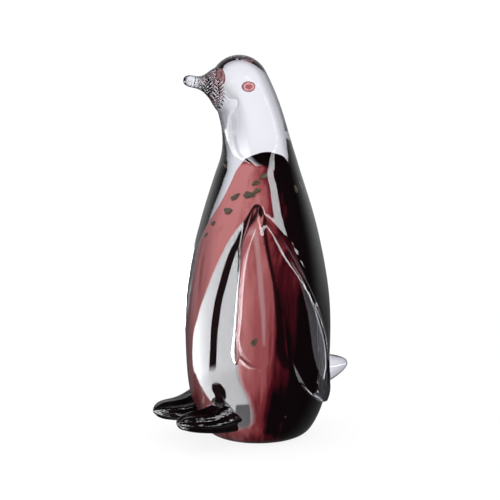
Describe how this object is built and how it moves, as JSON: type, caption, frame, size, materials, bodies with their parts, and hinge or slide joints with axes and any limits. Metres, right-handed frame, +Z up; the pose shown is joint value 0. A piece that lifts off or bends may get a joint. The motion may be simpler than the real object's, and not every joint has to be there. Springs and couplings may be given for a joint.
{
  "type": "penguin figurine",
  "caption": "Solid glass penguin with a clear casing over a rose to dark amethyst core, clear wings, tail and beak, dark grooved feet and cane-slice eyes.",
  "frame": {"origin": "centre of the flat ground base, on the surface the figure stands on", "axes": "+Z up to the crown, -Y where the beak points, +X the figure's left side"},
  "size_m": [0.0738, 0.0984, 0.18],
  "materials": {
    "clear_glass": "fire-polished clear glass",
    "amethyst_glass": "dark amethyst glass, rose toward the front",
    "brown_glass": "opaque olive-brown glass chips",
    "dark_glass": "near-black amethyst glass, tooled",
    "rose_glass": "opaque rose glass",
    "pink_glass": "opaque pale pink glass"
  },
  "bodies": {
    "root": {"clear_casing": "clear_glass", "amethyst_core": "amethyst_glass", "core_flecks": "brown_glass", "beak": "clear_glass", "left_wing": "clear_glass", "right_wing": "clear_glass", "tail": "clear_glass", "left_foot": "dark_glass", "right_foot": "dark_glass", "left_eye_rim": "rose_glass", "left_eye_iris": "pink_glass", "left_eye_pupil": "rose_glass", "right_eye_rim": "rose_glass", "right_eye_iris": "pink_glass", "right_eye_pupil": "rose_glass"}
  },
  "joints": []
}
